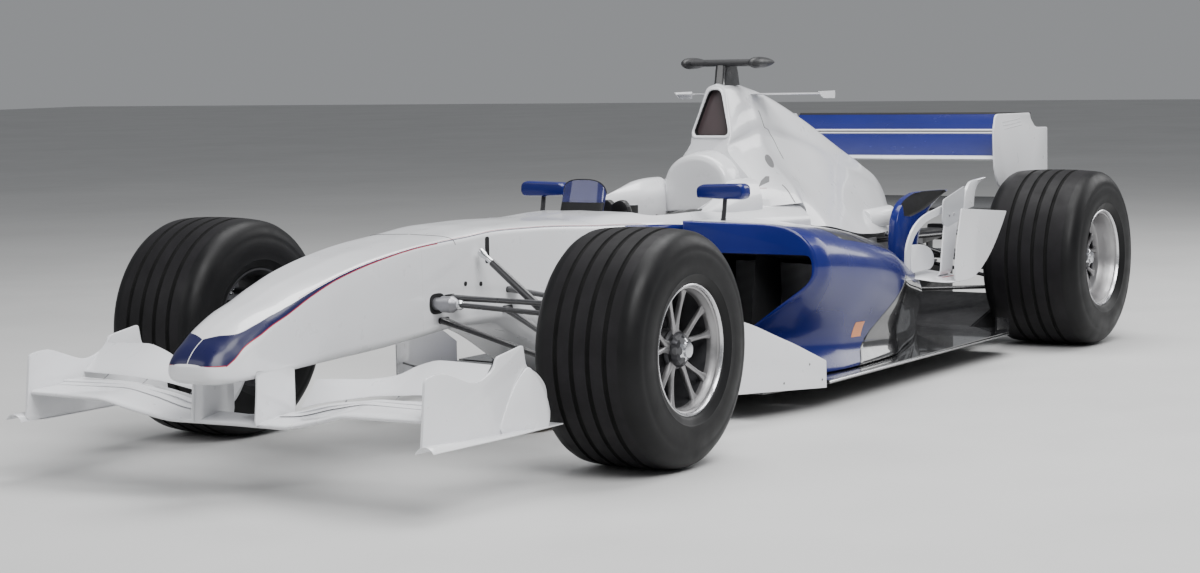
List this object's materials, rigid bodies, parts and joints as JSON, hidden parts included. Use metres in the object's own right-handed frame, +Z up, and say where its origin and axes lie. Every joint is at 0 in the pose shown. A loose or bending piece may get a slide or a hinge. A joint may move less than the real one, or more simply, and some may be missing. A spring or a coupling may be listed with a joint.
{
  "type": "open wheel racing car",
  "caption": "Single-seat open wheel racing car with a high raised nose, front and rear wings, sidepods with inlets, a tall airbox and grooved slick tyres that roll and steer.",
  "frame": {"origin": "on the ground, under the middle of the car's length and width", "axes": "+X forwards to the nose, +Y to the car's left, +Z up"},
  "size_m": [4.61, 1.8, 1.093],
  "materials": {
    "body_white": "pearl gloss",
    "body_blue": "gloss",
    "carbon_gloss": "clear lacquered weave",
    "carbon_matt": "bare weave",
    "tyre_rubber": "grooved slick",
    "rim_front": "satin",
    "rim_rear": "satin",
    "hub_steel": "dark machined",
    "upright_alloy": "machined",
    "shaft_steel": "ground",
    "case_alloy": "cast",
    "exhaust_steel": "heat stained",
    "cooler_alloy": "finned",
    "plank_wood": "varnished laminate",
    "lining": "black padding",
    "screen": "tinted",
    "rear_light": "red lens"
  },
  "bodies": {
    "chassis": {"monocoque": "body_white", "nose_cone": "body_white", "cockpit_surround": "body_white", "seat": "lining", "windscreen": "screen", "mirrors": "body_blue", "floor": "carbon_gloss", "plank": "plank_wood", "diffuser": "carbon_matt", "sidepod_left": "body_blue", "sidepod_right": "body_blue", "radiators": "cooler_alloy", "chimneys": "body_blue", "flip_ups": "body_white", "bargeboards": "body_white", "engine_cover": "body_white", "airbox_winglets": "body_white", "camera_pod": "carbon_matt", "engine": "case_alloy", "gearbox": "case_alloy", "crash_structure": "carbon_matt", "rain_light": "rear_light", "exhausts": "exhaust_steel", "rear_wing_planes": "body_blue", "beam_wing": "carbon_gloss", "rear_endplates": "body_white", "front_wing_main": "body_white", "front_wing_flaps": "body_white", "front_endplates": "body_white", "front_wishbones": "carbon_gloss", "front_pushrods": "carbon_gloss", "rear_wishbones": "carbon_gloss", "rear_pushrods": "carbon_gloss", "rear_uprights": "upright_alloy"},
    "knuckle_left": {"upright_front_left": "upright_alloy"},
    "knuckle_right": {"upright_front_right": "upright_alloy"},
    "rack": {"steering_rack": "carbon_gloss"},
    "steering_wheel": {"steering_wheel": "carbon_matt"},
    "wheel_front_left": {"tyre_front_left": "tyre_rubber", "rim_front_left": "rim_front", "hub_front_left": "hub_steel"},
    "wheel_rear_left": {"tyre_rear_left": "tyre_rubber", "rim_rear_left": "rim_rear", "hub_rear_left": "hub_steel", "driveshaft_left": "shaft_steel"},
    "wheel_front_right": {"tyre_front_right": "tyre_rubber", "rim_front_right": "rim_front", "hub_front_right": "hub_steel"},
    "wheel_rear_right": {"tyre_rear_right": "tyre_rubber", "rim_rear_right": "rim_rear", "hub_rear_right": "hub_steel", "driveshaft_right": "shaft_steel"}
  },
  "joints": [
    {"name": "steer_left", "type": "hinge", "parent": "chassis", "child": "knuckle_left", "pos_m": [1.305, 0.69, 0.325], "axis": [0, 0, 1], "range_deg": [-14, 14]},
    {"name": "steer_right", "type": "hinge", "parent": "chassis", "child": "knuckle_right", "pos_m": [1.305, -0.69, 0.325], "axis": [0, 0, 1], "range_deg": [-14, 14]},
    {"name": "rack_slide", "type": "slide", "parent": "chassis", "child": "rack", "axis": [0, 1, 0], "range_m": [-0.0155, 0.0155]},
    {"name": "steering_wheel_turn", "type": "hinge", "parent": "chassis", "child": "steering_wheel", "pos_m": [0.325, 0, 0.58], "axis": [-0.9925, 0, 0.1219], "range_deg": [-170, 170]},
    {"name": "wheel_front_left_spin", "type": "hinge", "parent": "knuckle_left", "child": "wheel_front_left", "pos_m": [1.305, 0.735, 0.325], "axis": [0, 1, 0], "continuous": true},
    {"name": "wheel_front_right_spin", "type": "hinge", "parent": "knuckle_right", "child": "wheel_front_right", "pos_m": [1.305, -0.735, 0.325], "axis": [0, 1, 0], "continuous": true},
    {"name": "wheel_rear_left_spin", "type": "hinge", "parent": "chassis", "child": "wheel_rear_left", "pos_m": [-1.805, 0.705, 0.325], "axis": [0, 1, 0], "continuous": true},
    {"name": "wheel_rear_right_spin", "type": "hinge", "parent": "chassis", "child": "wheel_rear_right", "pos_m": [-1.805, -0.705, 0.325], "axis": [0, 1, 0], "continuous": true}
  ],
  "couplings": [
    {"joint": "steer_right", "follows": "steer_left", "ratio": 1},
    {"joint": "rack_slide", "follows": "steer_left", "m_per_rad": 0.062},
    {"joint": "steering_wheel_turn", "follows": "steer_left", "ratio": 12}
  ]
}
